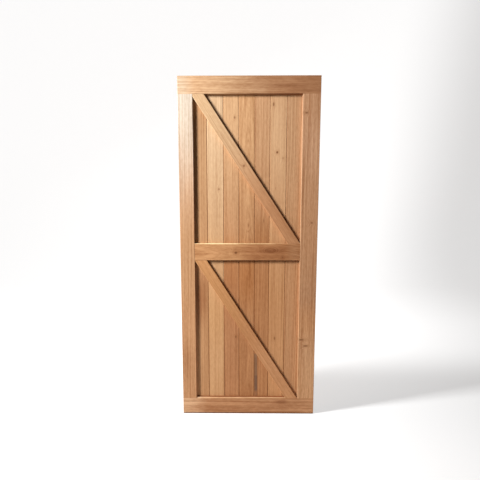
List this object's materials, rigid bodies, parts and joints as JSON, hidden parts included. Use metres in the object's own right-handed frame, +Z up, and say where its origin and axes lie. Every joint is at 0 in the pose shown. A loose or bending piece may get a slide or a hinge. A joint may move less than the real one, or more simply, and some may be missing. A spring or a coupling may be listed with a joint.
{
  "type": "sliding barn door",
  "caption": "Solid wood sliding door leaf: a flush frame with a middle rail and diagonal braces over recessed vertical tongue-and-groove boards.",
  "frame": {"origin": "middle of the bottom edge, at half the leaf's thickness", "axes": "+X to the right across the face seen from the front, +Y from the face to the back, +Z up"},
  "size_m": [0.82, 0.04, 2.04],
  "materials": {
    "frame_wood": "clear satin oil on planed softwood",
    "brace_wood": "clear satin oil on planed softwood",
    "board_wood": "clear satin oil on planed softwood",
    "tenon_wood": "bare planed beech",
    "brad_steel": "zinc-plated wire"
  },
  "bodies": {
    "root": {"left_stile": "frame_wood", "right_stile": "frame_wood", "top_rail": "frame_wood", "mid_rail": "frame_wood", "bottom_rail": "frame_wood", "upper_brace": "brace_wood", "lower_brace": "brace_wood", "board_1": "board_wood", "board_2": "board_wood", "board_3": "board_wood", "board_4": "board_wood", "board_5": "board_wood", "board_6": "board_wood", "board_7": "board_wood", "corner_tenons": "tenon_wood", "mid_rail_tenons": "tenon_wood", "board_brads": "brad_steel"}
  },
  "joints": []
}
